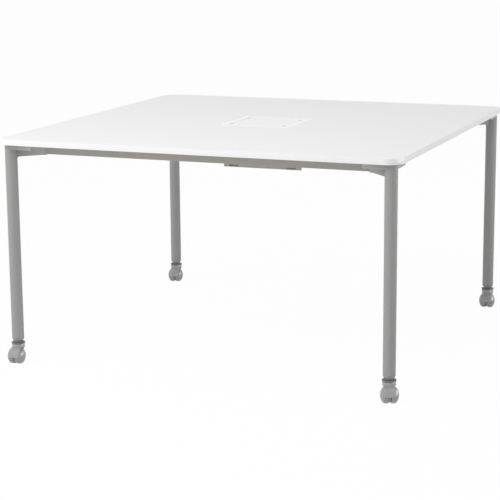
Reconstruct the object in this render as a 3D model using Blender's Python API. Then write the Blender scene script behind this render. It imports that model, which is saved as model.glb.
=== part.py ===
"""Conference table: a white board on a recessed steel beam frame, four round tube legs held by die-cast
corner brackets, a hooded twin-wheel caster in each leg, and a lidded cable port over a cable tray.

Metres, +Z up. The origin is on the floor under the middle of the top; the front is towards -Y.
"""

import math

import bmesh
import bpy
from mathutils import Matrix, Vector

# Driving dimensions: the top
TOP_WIDTH = 1.300
TOP_DEPTH = 1.300
TABLE_HEIGHT = 0.720
TOP_THICKNESS = 0.018
CORNER_RADIUS = 0.050
BAND_THICKNESS = 0.002
BAND_ARRIS = 0.0012

# Driving dimensions: fits
SEAT_GAP = 0.0003
RUNNING_GAP = 0.0012
HOOD_GAP = 0.0008

# How many sides the round pieces have
LEG_SIDES = 24
CASTER_SIDES = 20
PIN_SIDES = 12
SCREW_SIDES = 8

# Driving dimensions: legs
LEG_INSET = 0.035
LEG_RADIUS = 0.01905
LEG_WALL = 0.0016
LEG_BOTTOM = 0.082

# Driving dimensions: beams
BEAM_RECESS = 0.100
BEAM_THICKNESS = 0.020
BEAM_HEIGHT = 0.0367
BEAM_WALL = 0.0016
BEAM_EDGE_RADIUS = 0.0025

# Driving dimensions: corner brackets
HEAD_HEIGHT = 0.056
SPIGOT_LENGTH = 0.034
ARM_HEIGHT = 0.0395
ARM_WIDTH = 0.018
ARM_FILLET = 0.006
WING_LENGTH = 0.084
WING_WIDTH = 0.023
WING_CHAMFER = 0.006
WING_SET_BACK = 0.0002
PLATE_THICKNESS = 0.004
RIM_THICKNESS = 0.003
RIM_HEIGHT = 0.0145
WING_SCREW_ALONG = 0.0605
WING_SCREW_ACROSS = 0.0064
ARM_SCREW_REACH = 0.052
ARM_SCREW_SPREAD = 0.028
BEAM_SPIGOT_LENGTH = 0.040

# Driving dimensions: fasteners
LEG_BOLT_RADIUS = 0.004
LEG_BOLT_HEAD_RADIUS = 0.0065
LEG_BOLT_HEAD_HEIGHT = 0.008
LEG_NUT_THICKNESS = 0.006
LEG_NUT_DROP = 0.010
LEG_BOLT_TAIL = 0.004
WOOD_SCREW_RADIUS = 0.002
WOOD_SCREW_BITE = 0.011
BEAM_SCREW_RADIUS = 0.0025
BEAM_SCREW_BITE = 0.008

# Driving dimensions: casters
CASTER_TRAIL = 0.016
WHEEL_RADIUS = 0.025
WHEEL_TRACK = 0.0565
WHEEL_GAP = 0.008
TREAD_WIDTH = 0.012
HUB_RADIUS = 0.008
RIM_WALL = 0.0035
DISH_DEPTH = 0.0025
AXLE_RADIUS = 0.003
AXLE_BITE = 0.016
HOOD_WIDTH = 0.034
HOOD_SHELL = 0.0018
HOOD_DROP = 0.001
HOOD_EDGE = 0.0025
WEB_RADIUS = 0.0225
COLLAR_RADIUS = 0.0205
COLLAR_BOTTOM = 0.0500
COLLAR_HEIGHT = 0.0127
COLLAR_STEP = 0.0008
RING_OVERHANG = 0.001
RING_HEIGHT = 0.0042
STEM_RADIUS = 0.0055
STEM_SEAT = 0.011
STEM_REACH = 0.040
SOCKET_NECK_RADIUS = 0.0115
SOCKET_TAPER = 0.010
SOCKET_INSERT = 0.036
STEM_GROOVE = 0.001

# Driving dimensions: cable port
PORT_WIDTH = 0.240
PORT_DEPTH = 0.250
PORT_RADIUS = 0.008
PORT_FLANGE_REST = 0.0075
PORT_FLANGE_THICKNESS = 0.0025
PORT_SIDE_RIM = 0.023
PORT_END_RIM = 0.0165
PORT_BODY_THICKNESS = 0.0085
PORT_SKIRT_DEPTH = 0.024
PORT_SKIRT_WALL = 0.002
PORT_LEDGE = 0.003
LID_THICKNESS = 0.003
LID_GAP = 0.0005
LID_BARREL_RADIUS = 0.0042
LID_SWING_GAP = 0.0004
LID_PIN_RADIUS = 0.001
LID_PIN_HALF_REACH = 0.004
NOTCH_DEPTH = 0.008
NOTCH_WIDTH = 0.024
NOTCH_OFFSET = 0.078

# Driving dimensions: cable tray
TRAY_WIDTH = 0.275
TRAY_BACK_WIDTH = 0.200
TRAY_DEPTH = 0.080
TRAY_BOTTOM = 0.570
TRAY_WALL_HEIGHT = 0.045
TRAY_SHEET = 0.0012
SLOT_LENGTH = 0.036
SLOT_HEIGHT = 0.006
SLOT_END = 0.018
HANGER_OFFSET = 0.060
HANGER_WIDTH = 0.020
HANGER_SHEET = 0.0015
HANGER_FOOT = 0.024
HANGER_PORT_CLEARANCE = 0.005
HANGER_BEND_RISE = 0.002
RIVET_RADIUS = 0.002
RIVET_OFFSET = 0.022

# Each corner's side in X and in Y, the turn of its bracket, and the turn of its caster in the stored pose
# from trailing straight to the front, both in degrees
CORNERS = {
    "front_left": (-1, -1, 180, 6),
    "front_right": (1, -1, 270, 22),
    "back_left": (-1, 1, 90, 14),
    "back_right": (1, 1, 0, 8),
}

# Sizes that follow from the ones above
UNDERSIDE = TABLE_HEIGHT - TOP_THICKNESS
FRAME_TOP = UNDERSIDE - SEAT_GAP
LEG_BORE = LEG_RADIUS - LEG_WALL
LEG_X = TOP_WIDTH / 2 - LEG_INSET
LEG_Y = TOP_DEPTH / 2 - LEG_INSET
HEAD_BOTTOM = FRAME_TOP - HEAD_HEIGHT
ARM_BOTTOM = FRAME_TOP - ARM_HEIGHT
BEAM_OUTER = BEAM_RECESS - LEG_INSET
BEAM_INNER = BEAM_OUTER + BEAM_THICKNESS
BEAM_MIDDLE = BEAM_OUTER + BEAM_THICKNESS / 2
BEAM_BOTTOM = FRAME_TOP - BEAM_HEIGHT
HOOD_RADIUS = WHEEL_RADIUS + HOOD_GAP + HOOD_SHELL
COLLAR_TOP = COLLAR_BOTTOM + COLLAR_HEIGHT
RING_BOTTOM = COLLAR_TOP + SEAT_GAP
RING_TOP = RING_BOTTOM + RING_HEIGHT
SOCKET_BOTTOM = RING_TOP + SEAT_GAP
LID_TOP = TABLE_HEIGHT - SEAT_GAP
LID_HALF_WIDTH = PORT_WIDTH / 2 - PORT_SIDE_RIM - 2 * LID_GAP
LID_HALF_DEPTH = PORT_DEPTH / 2 - PORT_END_RIM - LID_GAP
HINGE_Y = LID_HALF_DEPTH - LID_BARREL_RADIUS - LID_SWING_GAP
HINGE_Z = LID_TOP - LID_BARREL_RADIUS


def clear_scene():
    """Empties the file before the table is modelled."""
    for thing in list(bpy.data.objects):
        bpy.data.objects.remove(thing)


def make_material(name, colour, roughness, metallic=0.0):
    """One Principled material."""
    material = bpy.data.materials.new(name)
    material.use_nodes = True
    shader = material.node_tree.nodes["Principled BSDF"]
    shader.inputs["Base Color"].default_value = (*colour, 1.0)
    shader.inputs["Roughness"].default_value = roughness
    shader.inputs["Metallic"].default_value = metallic
    return material


def finish_mesh(bm, name):
    """Turns a closed bmesh into a mesh with its faces pointing out."""
    bmesh.ops.recalc_face_normals(bm, faces=bm.faces)
    if bm.calc_volume(signed=True) < 0:
        bmesh.ops.reverse_faces(bm, faces=bm.faces)
    mesh = bpy.data.meshes.new(name)
    bm.to_mesh(mesh)
    bm.free()
    return mesh


def loft(loops, ring=False, name="loft"):
    """Joins closed loops of points in turn. A ring joins the last to the first; otherwise the ends are
    capped. A loop of a single point is a pole."""
    bm = bmesh.new()
    rows = [[bm.verts.new(point) for point in loop] for loop in loops]
    pairs = list(zip(rows, rows[1:]))
    if ring:
        pairs.append((rows[-1], rows[0]))
    for low, high in pairs:
        count = max(len(low), len(high))
        for index in range(count):
            after = (index + 1) % count
            if len(low) == 1:
                bm.faces.new((low[0], high[after], high[index]))
            elif len(high) == 1:
                bm.faces.new((low[index], low[after], high[0]))
            else:
                bm.faces.new((low[index], low[after], high[after], high[index]))
    if not ring:
        for row in (rows[0], rows[-1]):
            if len(row) > 2:
                bm.faces.new(row)
    return finish_mesh(bm, name)


def circle(radius, height, sides):
    """A level circle of points, or one point where the radius is nothing."""
    if radius == 0:
        return [(0, 0, height)]
    step = 2 * math.pi / sides
    return [
        (radius * math.cos(step * index), radius * math.sin(step * index), height) for index in range(sides)
    ]


def turned(profile, sides):
    """A solid turned about Z from (radius, height) points."""
    return loft([circle(radius, height, sides) for radius, height in profile])


def pin(radius, low, high, sides):
    """A plain round pin about Z."""
    return turned(((0, low), (radius, low), (radius, high), (0, high)), sides)


def rounded_rectangle(half_x, half_y, radius, steps=4):
    """Points of a rectangle with arcs at its corners, anticlockwise."""
    points = []
    for quarter, (side_x, side_y) in enumerate(((1, 1), (-1, 1), (-1, -1), (1, -1))):
        for step in range(steps + 1):
            angle = math.radians(90 * (quarter + step / steps))
            points.append(
                (
                    side_x * (half_x - radius) + radius * math.cos(angle),
                    side_y * (half_y - radius) + radius * math.sin(angle),
                )
            )
    return points


def arc(centre, radius, start, end, steps):
    """Points on an arc between two angles in degrees."""
    return [
        (
            centre[0] + radius * math.cos(math.radians(start + (end - start) * step / steps)),
            centre[1] + radius * math.sin(math.radians(start + (end - start) * step / steps)),
        )
        for step in range(steps + 1)
    ]


def prism(outline, low, high, name="prism"):
    """An outline in X and Y, raised from one height to another."""
    return loft([[(x, y, height) for x, y in outline] for height in (low, high)], name=name)


def block(low, high):
    """A rectangular block between two corners."""
    outline = [(low[0], low[1]), (high[0], low[1]), (high[0], high[1]), (low[0], high[1])]
    return prism(outline, low[2], high[2])


def moved(mesh, matrix):
    """Places a mesh by a matrix and returns it."""
    mesh.transform(matrix)
    return mesh


def shift(x, y, z):
    """A translation matrix."""
    return Matrix.Translation(Vector((x, y, z)))


def turn(degrees, axis):
    """A rotation matrix about a main axis."""
    return Matrix.Rotation(math.radians(degrees), 4, axis)


def gathered(meshes, name="group"):
    """Several separate solids in one mesh."""
    bm = bmesh.new()
    for mesh in meshes:
        bm.from_mesh(mesh)
    result = bpy.data.meshes.new(name)
    bm.to_mesh(result)
    bm.free()
    return result


def combined(base, others, operation):
    """Unites others with base, or cuts them from it, one after another, and bakes the result."""
    for other in others:
        body = bpy.data.objects.new("body", base)
        tool = bpy.data.objects.new("tool", other)
        bpy.context.scene.collection.objects.link(body)
        bpy.context.scene.collection.objects.link(tool)
        modifier = body.modifiers.new("Boolean", "BOOLEAN")
        modifier.operation = operation
        modifier.solver = "EXACT"
        modifier.object = tool
        bpy.context.view_layer.update()
        base = bpy.data.meshes.new_from_object(body.evaluated_get(bpy.context.evaluated_depsgraph_get()))
        bpy.data.objects.remove(body)
        bpy.data.objects.remove(tool)
    return base


def place(name, mesh, material, matrix=None, parent=None, sharp=32):
    """Makes the named piece, smooth over its round faces."""
    if mesh.users and mesh.materials:
        piece = bpy.data.objects.new(name, mesh)
    else:
        mesh.name = name
        mesh.materials.clear()
        mesh.materials.append(material)
        mesh.shade_smooth()
        mesh.set_sharp_from_angle(angle=math.radians(sharp))
        piece = bpy.data.objects.new(name, mesh)
    bpy.context.scene.collection.objects.link(piece)
    piece.parent = parent
    if matrix is not None:
        piece.matrix_local = matrix
    return piece


def bracket_points():
    """Screw places on a bracket from its leg axis: one on each wing and one on each side of the arm."""
    along = -WING_SCREW_ALONG
    far = -ARM_SCREW_REACH
    near = far + ARM_SCREW_SPREAD
    return [(along, WING_SCREW_ACROSS), (WING_SCREW_ACROSS, along), (far, near), (near, far)]


def hanger_screw_y():
    """How far the hanger screws lie from the middle of the port."""
    return PORT_DEPTH / 2 + HANGER_PORT_CLEARANCE + HANGER_FOOT / 2


def top_screws():
    """Where every wood screw goes into the underside."""
    places = []
    for side_x, side_y, angle, _ in CORNERS.values():
        spin = turn(angle, "Z")
        for x, y in bracket_points():
            point = spin @ Vector((x, y, 0))
            places.append((side_x * LEG_X + point.x, side_y * LEG_Y + point.y))
    for side_x in (-1, 1):
        for side_y in (-1, 1):
            places.append((side_x * HANGER_OFFSET, side_y * hanger_screw_y()))
    return places


def build_top(laminate, banding):
    """The board with its port cut-out and screw holes, and the band round its edge."""
    reach = BAND_THICKNESS + SEAT_GAP
    outline = rounded_rectangle(TOP_WIDTH / 2 - reach, TOP_DEPTH / 2 - reach, CORNER_RADIUS - reach, 8)
    board = prism(outline, UNDERSIDE, TABLE_HEIGHT)
    hole_x = PORT_WIDTH / 2 - PORT_FLANGE_REST + SEAT_GAP
    hole_y = PORT_DEPTH / 2 - PORT_FLANGE_REST + SEAT_GAP
    hole = prism(rounded_rectangle(hole_x, hole_y, PORT_RADIUS), UNDERSIDE - 0.01, TABLE_HEIGHT + 0.01)
    seat = prism(
        rounded_rectangle(PORT_WIDTH / 2 + SEAT_GAP, PORT_DEPTH / 2 + SEAT_GAP, PORT_RADIUS + SEAT_GAP),
        TABLE_HEIGHT - PORT_FLANGE_THICKNESS - SEAT_GAP,
        TABLE_HEIGHT + 0.01,
    )
    bore = WOOD_SCREW_RADIUS + SEAT_GAP
    pilots = [
        moved(pin(bore, -0.01, WOOD_SCREW_BITE + SEAT_GAP, SCREW_SIDES), shift(x, y, UNDERSIDE))
        for x, y in top_screws()
    ]
    board = combined(board, [hole, seat, gathered(pilots)], "DIFFERENCE")
    place("top_board", board, laminate)

    section = (
        (0, UNDERSIDE + BAND_ARRIS),
        (0, TABLE_HEIGHT - BAND_ARRIS),
        (BAND_ARRIS, TABLE_HEIGHT),
        (BAND_THICKNESS, TABLE_HEIGHT),
        (BAND_THICKNESS, UNDERSIDE),
        (BAND_ARRIS, UNDERSIDE),
    )
    loops = [
        [(x, y, z) for x, y in rounded_rectangle(
            TOP_WIDTH / 2 - inset, TOP_DEPTH / 2 - inset, CORNER_RADIUS - inset, 8)]
        for inset, z in section
    ]
    place("edge_band", loft(loops, ring=True), banding)


def bracket_mesh():
    """The cast corner bracket, with its leg axis at the origin and the frame towards -X and -Y."""
    head = turned(
        (
            (0, HEAD_BOTTOM - SPIGOT_LENGTH),
            (LEG_BORE - SEAT_GAP - 0.001, HEAD_BOTTOM - SPIGOT_LENGTH),
            (LEG_BORE - SEAT_GAP, HEAD_BOTTOM - SPIGOT_LENGTH + 0.002),
            (LEG_BORE - SEAT_GAP, HEAD_BOTTOM),
            (LEG_RADIUS, HEAD_BOTTOM),
            (LEG_RADIUS, FRAME_TOP),
            (0, FRAME_TOP),
        ),
        LEG_SIDES,
    )
    reach = BEAM_MIDDLE * math.sqrt(2)
    foot = LEG_RADIUS * 0.9
    side_view = [(0, ARM_BOTTOM - ARM_FILLET)]
    side_view += arc((foot + ARM_FILLET, ARM_BOTTOM - ARM_FILLET), ARM_FILLET, 180, 90, 4)
    arm_top = FRAME_TOP - PLATE_THICKNESS / 2
    side_view += [(reach, ARM_BOTTOM), (reach, arm_top), (0, arm_top)]
    arm = prism(side_view, -ARM_WIDTH / 2, ARM_WIDTH / 2)
    arm = moved(arm, turn(225, "Z") @ turn(90, "X"))
    corner = block((-BEAM_INNER, -BEAM_INNER, ARM_BOTTOM), (-BEAM_OUTER, -BEAM_OUTER, FRAME_TOP))

    inside = BEAM_THICKNESS / 2 - BEAM_WALL - SEAT_GAP
    low = BEAM_BOTTOM + BEAM_WALL + SEAT_GAP
    high = FRAME_TOP - BEAM_WALL - SEAT_GAP
    end = -(BEAM_INNER + BEAM_SPIGOT_LENGTH)
    start = -BEAM_INNER + 0.004
    spigot_x = block((end, -BEAM_MIDDLE - inside, low), (start, -BEAM_MIDDLE + inside, high))
    spigot_y = block((-BEAM_MIDDLE - inside, end, low), (-BEAM_MIDDLE + inside, start, high))

    outer = LEG_RADIUS - WING_SET_BACK
    inner = outer - WING_WIDTH
    square = -BEAM_OUTER - 0.001
    half = [
        (0, outer),
        (-WING_LENGTH + WING_CHAMFER, outer),
        (-WING_LENGTH, outer - WING_CHAMFER),
        (-WING_LENGTH, inner + WING_CHAMFER),
        (-WING_LENGTH + WING_CHAMFER, inner),
        (square, inner),
    ]
    outline = half + [(square, square)] + [(y, x) for x, y in reversed(half)]
    plate = prism(outline, FRAME_TOP - RIM_HEIGHT, FRAME_TOP)
    core = outer - RIM_THICKNESS
    hollow = block((-0.2, -0.2, FRAME_TOP - 0.1), (core, core, FRAME_TOP - PLATE_THICKNESS))
    wings = combined(plate, [hollow], "DIFFERENCE")

    bracket = combined(head, [wings, arm, corner, spigot_x, spigot_y], "UNION")

    bore = LEG_BOLT_RADIUS + SEAT_GAP
    sink = LEG_BOLT_HEAD_RADIUS + SEAT_GAP
    cuts = [
        turned(
            (
                (0, HEAD_BOTTOM - SPIGOT_LENGTH - 0.01),
                (bore, HEAD_BOTTOM - SPIGOT_LENGTH - 0.01),
                (bore, FRAME_TOP - LEG_BOLT_HEAD_HEIGHT - 2 * SEAT_GAP),
                (sink, FRAME_TOP - LEG_BOLT_HEAD_HEIGHT - 2 * SEAT_GAP),
                (sink, FRAME_TOP + 0.01),
                (0, FRAME_TOP + 0.01),
            ),
            PIN_SIDES,
        )
    ]
    hole = WOOD_SCREW_RADIUS + SEAT_GAP
    for x, y in bracket_points():
        cuts.append(moved(pin(hole, -0.01, 0.01, SCREW_SIDES), shift(x, y, FRAME_TOP)))
    hole = BEAM_SCREW_RADIUS + SEAT_GAP
    bite = BEAM_WALL + BEAM_SCREW_BITE + SEAT_GAP
    for matrix in beam_screw_matrices():
        cuts.append(moved(pin(hole, -0.01, bite, SCREW_SIDES), matrix))
    return combined(bracket, cuts, "DIFFERENCE")


def beam_screw_matrices():
    """The two beam screws of a bracket, from the leg axis: each enters the beam's inner face."""
    along = -(BEAM_INNER + BEAM_SPIGOT_LENGTH / 2)
    height = BEAM_BOTTOM + BEAM_HEIGHT / 2
    return [
        shift(along, -BEAM_INNER - SEAT_GAP, height) @ turn(-90, "X"),
        shift(-BEAM_INNER - SEAT_GAP, along, height) @ turn(90, "Y"),
    ]


def build_frame(paint, casting, zinc):
    """Brackets, beams, legs and what bolts them together."""
    bracket = bracket_mesh()
    tube = loft(
        [
            circle(LEG_RADIUS, LEG_BOTTOM, LEG_SIDES),
            circle(LEG_RADIUS, HEAD_BOTTOM - SEAT_GAP, LEG_SIDES),
            circle(LEG_BORE, HEAD_BOTTOM - SEAT_GAP, LEG_SIDES),
            circle(LEG_BORE, LEG_BOTTOM, LEG_SIDES),
        ],
        ring=True,
    )
    nut_top = HEAD_BOTTOM - SPIGOT_LENGTH - LEG_NUT_DROP
    bolt_end = nut_top - LEG_NUT_THICKNESS - LEG_BOLT_TAIL
    head_seat = FRAME_TOP - LEG_BOLT_HEAD_HEIGHT - SEAT_GAP
    for corner, (side_x, side_y, angle, _) in CORNERS.items():
        at_leg = shift(side_x * LEG_X, side_y * LEG_Y, 0)
        place(f"bracket_{corner}", bracket, casting, at_leg @ turn(angle, "Z"))
        place(f"leg_{corner}", tube, paint, at_leg)
        bolt = turned(
            (
                (0, bolt_end),
                (LEG_BOLT_RADIUS, bolt_end),
                (LEG_BOLT_RADIUS, head_seat),
                (LEG_BOLT_HEAD_RADIUS, head_seat),
                (LEG_BOLT_HEAD_RADIUS, FRAME_TOP - SEAT_GAP),
                (0, FRAME_TOP - SEAT_GAP),
            ),
            PIN_SIDES,
        )
        place(f"leg_bolt_{corner}", bolt, zinc, at_leg)
        hole = LEG_BOLT_RADIUS + SEAT_GAP
        nut = loft(
            [
                circle(LEG_BORE - SEAT_GAP, nut_top - LEG_NUT_THICKNESS, PIN_SIDES),
                circle(LEG_BORE - SEAT_GAP, nut_top, PIN_SIDES),
                circle(hole, nut_top, PIN_SIDES),
                circle(hole, nut_top - LEG_NUT_THICKNESS, PIN_SIDES),
            ],
            ring=True,
        )
        place(f"leg_nut_plate_{corner}", nut, zinc, at_leg)

    for name, span, offset, angle in (
        ("beam_front", LEG_X, LEG_Y, 0),
        ("beam_right", LEG_Y, LEG_X, 90),
        ("beam_back", LEG_X, LEG_Y, 180),
        ("beam_left", LEG_Y, LEG_X, 270),
    ):
        place(name, beam_mesh(span, offset), paint, turn(angle, "Z"))


def beam_mesh(span, offset):
    """The front beam: rectangular tube along X between two brackets, holed for its two screws."""
    half = span - BEAM_INNER - SEAT_GAP
    outer = rounded_rectangle(BEAM_THICKNESS / 2, BEAM_HEIGHT / 2, BEAM_EDGE_RADIUS, 3)
    inner = rounded_rectangle(
        BEAM_THICKNESS / 2 - BEAM_WALL, BEAM_HEIGHT / 2 - BEAM_WALL, BEAM_EDGE_RADIUS - BEAM_WALL, 3)
    middle = -(offset - BEAM_MIDDLE)
    height = BEAM_BOTTOM + BEAM_HEIGHT / 2
    loops = [
        [(x, middle + across, height + up) for across, up in outline]
        for outline, x in ((outer, -half), (outer, half), (inner, half), (inner, -half))
    ]
    beam = loft(loops, ring=True)
    hole = BEAM_SCREW_RADIUS + SEAT_GAP
    cuts = []
    for side in (-1, 1):
        x = side * (span - BEAM_INNER - BEAM_SPIGOT_LENGTH / 2)
        at_screw = shift(x, middle + BEAM_THICKNESS / 2, height) @ turn(90, "X")
        cuts.append(moved(pin(hole, -0.004, 0.004, SCREW_SIDES), at_screw))
    return combined(beam, cuts, "DIFFERENCE")


def wheel_circle(radius, x):
    """A circle about the axle, with a flat towards the floor whose distance from the axle is radius."""
    if radius == 0:
        return [(x, 0, 0)]
    outer = radius / math.cos(math.pi / CASTER_SIDES)
    step = 2 * math.pi / CASTER_SIDES
    start = -math.pi / 2 + step / 2
    return [
        (x, outer * math.cos(start + step * index), outer * math.sin(start + step * index))
        for index in range(CASTER_SIDES)
    ]


def wheel_mesh():
    """The right-hand wheel of a pair: flat tread, domed outer face, dished inner face and blind bore."""
    inner = WHEEL_GAP / 2
    dome_start = inner + TREAD_WIDTH
    dome_width = WHEEL_TRACK / 2 - dome_start
    bore = AXLE_RADIUS + SEAT_GAP
    depth = inner + AXLE_BITE + SEAT_GAP
    profile = [
        (0, depth),
        (bore, depth),
        (bore, inner),
        (HUB_RADIUS, inner),
        (HUB_RADIUS + 0.0005, inner + DISH_DEPTH),
        (WHEEL_RADIUS - RIM_WALL, inner + DISH_DEPTH),
        (WHEEL_RADIUS - RIM_WALL + 0.0005, inner),
        (WHEEL_RADIUS - 0.0008, inner),
        (WHEEL_RADIUS, inner + 0.0012),
        (WHEEL_RADIUS, dome_start),
    ]
    for angle in (30, 60, 90):
        radius = WHEEL_RADIUS * math.cos(math.radians(angle)) if angle < 90 else 0
        profile.append((radius, dome_start + dome_width * math.sin(math.radians(angle))))
    return loft([wheel_circle(radius, x) for radius, x in profile])


def hood_mesh():
    """The swivelling body, with the swivel axis at the origin and the wheels trailing towards -Y: a
    half-round hood, a round web between the wheels and a shoulder that rises to the collar."""
    middle = (-CASTER_TRAIL, WHEEL_RADIUS)
    loops = []
    for x, inset in (
        (-HOOD_WIDTH / 2, HOOD_EDGE / 2),
        (-HOOD_WIDTH / 2 + HOOD_EDGE, 0),
        (HOOD_WIDTH / 2 - HOOD_EDGE, 0),
        (HOOD_WIDTH / 2, HOOD_EDGE / 2),
    ):
        rim = arc(middle, HOOD_RADIUS - inset, 0, 180, 14)
        foot = WHEEL_RADIUS - HOOD_DROP
        outline = [(rim[0][0], foot)] + rim + [(rim[-1][0], foot)]
        loops.append([(x, y, z) for y, z in outline])
    hood = loft(loops)

    shoulder = []
    neck = COLLAR_RADIUS - COLLAR_STEP
    steps = 4
    for step in range(steps + 1):
        share = step / steps
        ease = share * share * (3 - 2 * share)
        centre = -CASTER_TRAIL * (1 - ease)
        half_x = HOOD_WIDTH / 2 - HOOD_EDGE + ease * (neck - HOOD_WIDTH / 2 + HOOD_EDGE)
        half_y = HOOD_RADIUS * 0.8 + ease * (neck - HOOD_RADIUS * 0.8)
        height = WHEEL_RADIUS + HOOD_RADIUS * 0.5
        height += share * (COLLAR_BOTTOM + 0.001 - height)
        shoulder.append(
            [(half_x * x, centre + half_y * y, z) for x, y, z in circle(1, height, CASTER_SIDES)])
    collar = turned(
        (
            (0, COLLAR_BOTTOM),
            (COLLAR_RADIUS, COLLAR_BOTTOM),
            (COLLAR_RADIUS, COLLAR_TOP - 0.001),
            (COLLAR_RADIUS - 0.001, COLLAR_TOP),
            (0, COLLAR_TOP),
        ),
        CASTER_SIDES,
    )
    web = WHEEL_GAP / 2 - RUNNING_GAP
    at_axle = shift(0, -CASTER_TRAIL, WHEEL_RADIUS)
    half_disc = web - SEAT_GAP
    disc = moved(pin(WEB_RADIUS, -half_disc, half_disc, CASTER_SIDES), at_axle @ turn(90, "Y"))
    body = combined(hood, [loft(shoulder), collar], "UNION")
    room = WHEEL_RADIUS / math.cos(math.pi / CASTER_SIDES) + HOOD_GAP
    spaces = [
        moved(pin(room, web, WHEEL_TRACK, CASTER_SIDES), at_axle @ turn(90 * side, "Y")) for side in (-1, 1)
    ]
    body = combined(body, spaces, "DIFFERENCE")
    body = combined(body, [disc], "UNION")
    hole = AXLE_RADIUS + SEAT_GAP
    axle_hole = moved(pin(hole, -WHEEL_GAP, WHEEL_GAP, PIN_SIDES), at_axle @ turn(90, "Y"))
    low = COLLAR_TOP - STEM_SEAT - SEAT_GAP
    stem_hole = pin(STEM_RADIUS + SEAT_GAP, low, COLLAR_TOP + 0.01, PIN_SIDES)
    return combined(body, [axle_hole, stem_hole], "DIFFERENCE")


def build_casters(plastic, rubber, paint, zinc):
    """A socket in each leg, and the caster that turns in it."""
    hood = hood_mesh()
    right_wheel = wheel_mesh()
    left_wheel = moved(wheel_mesh(), turn(180, "Z"))
    half_axle = WHEEL_GAP / 2 + AXLE_BITE
    axle = moved(
        turned(
            (
                (0, -half_axle),
                (AXLE_RADIUS - 0.0005, -half_axle),
                (AXLE_RADIUS, -half_axle + 0.0005),
                (AXLE_RADIUS, half_axle - 0.0005),
                (AXLE_RADIUS - 0.0005, half_axle),
                (0, half_axle),
            ),
            PIN_SIDES,
        ),
        turn(90, "Y"),
    )
    stem_low = COLLAR_TOP - STEM_SEAT
    stem_high = SOCKET_BOTTOM + STEM_REACH
    stem = turned(
        (
            (0, stem_low),
            (STEM_RADIUS, stem_low),
            (STEM_RADIUS, stem_high - 0.008),
            (STEM_RADIUS - STEM_GROOVE, stem_high - 0.007),
            (STEM_RADIUS - STEM_GROOVE, stem_high - 0.005),
            (STEM_RADIUS, stem_high - 0.004),
            (STEM_RADIUS - STEM_GROOVE, stem_high),
            (0, stem_high),
        ),
        PIN_SIDES,
    )
    bore = STEM_RADIUS + SEAT_GAP
    neck_top = LEG_BOTTOM - SEAT_GAP - SOCKET_TAPER
    socket = turned(
        (
            (0, stem_high + SEAT_GAP),
            (bore, stem_high + SEAT_GAP),
            (bore, SOCKET_BOTTOM),
            (SOCKET_NECK_RADIUS, SOCKET_BOTTOM),
            (SOCKET_NECK_RADIUS, neck_top),
            (SOCKET_NECK_RADIUS + (LEG_RADIUS - SOCKET_NECK_RADIUS) * 0.55, neck_top + SOCKET_TAPER * 0.35),
            (LEG_RADIUS - 0.0006, neck_top + SOCKET_TAPER * 0.85),
            (LEG_RADIUS, neck_top + SOCKET_TAPER),
            (LEG_BORE - SEAT_GAP, neck_top + SOCKET_TAPER),
            (LEG_BORE - SEAT_GAP - 0.001, LEG_BOTTOM + SOCKET_INSERT),
            (0, LEG_BOTTOM + SOCKET_INSERT),
        ),
        LEG_SIDES,
    )
    outer = COLLAR_RADIUS + RING_OVERHANG
    bearing = loft(
        [
            circle(outer, RING_BOTTOM, CASTER_SIDES),
            circle(outer, RING_TOP - 0.001, CASTER_SIDES),
            circle(outer - 0.001, RING_TOP, CASTER_SIDES),
            circle(bore, RING_TOP, CASTER_SIDES),
            circle(bore, RING_BOTTOM, CASTER_SIDES),
        ],
        ring=True,
    )
    for corner, (side_x, side_y, _, heading) in CORNERS.items():
        at_leg = shift(side_x * LEG_X, side_y * LEG_Y, 0)
        place(f"socket_{corner}", socket, paint, at_leg)
        place(f"bearing_ring_{corner}", bearing, rubber, at_leg)
        swivel = bpy.data.objects.new(f"swivel_axis_{corner}", None)
        bpy.context.scene.collection.objects.link(swivel)
        swivel.matrix_local = at_leg @ turn(heading, "Z")
        place(f"caster_stem_{corner}", stem, zinc, parent=swivel)
        place(f"caster_hood_{corner}", hood, plastic, parent=swivel)
        at_axle = shift(0, -CASTER_TRAIL, WHEEL_RADIUS)
        place(f"caster_axle_{corner}", axle, zinc, at_axle, parent=swivel)
        place(f"wheel_left_{corner}", left_wheel, plastic, at_axle, parent=swivel)
        place(f"wheel_right_{corner}", right_wheel, plastic, at_axle, parent=swivel)
    bpy.context.view_layer.update()


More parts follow.
